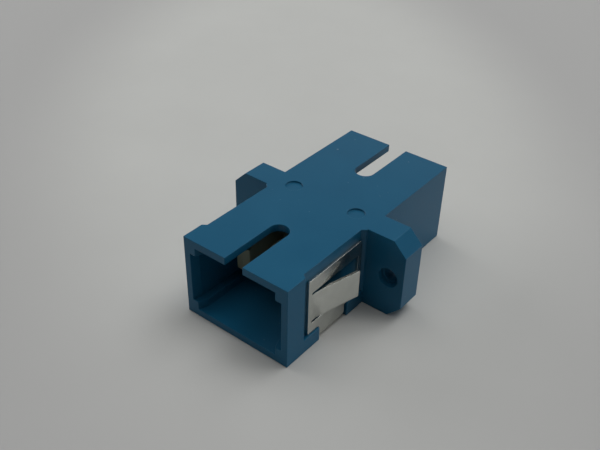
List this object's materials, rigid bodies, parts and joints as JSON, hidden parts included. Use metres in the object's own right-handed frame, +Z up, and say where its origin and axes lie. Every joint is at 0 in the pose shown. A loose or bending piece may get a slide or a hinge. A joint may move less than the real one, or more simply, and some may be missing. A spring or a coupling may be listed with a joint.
{
  "type": "sc fibre adapter",
  "caption": "Flanged rectangular coupler for square push-pull fibre plugs: keyed port at each end, latch arms and alignment sleeve inside, steel spring clip for a panel cut-out.",
  "frame": {"origin": "middle of the underside, below the split sleeve, on the flange's mid plane", "axes": "+Y along the fibre axis away from the clip end, +Z up through the keyways, +X across the width along the flange"},
  "size_m": [0.022, 0.0276, 0.0093],
  "materials": {
    "blue_pbt": "fine satin moulding texture",
    "spring_steel": "bright rolled stainless sheet",
    "natural_pbt": "uncoloured moulding",
    "zirconia": "ground and polished"
  },
  "bodies": {
    "root": {"housing": "blue_pbt", "mounting_clip": "spring_steel", "front_latch_housing": "natural_pbt", "rear_latch_housing": "natural_pbt", "split_sleeve": "zirconia"}
  },
  "joints": []
}
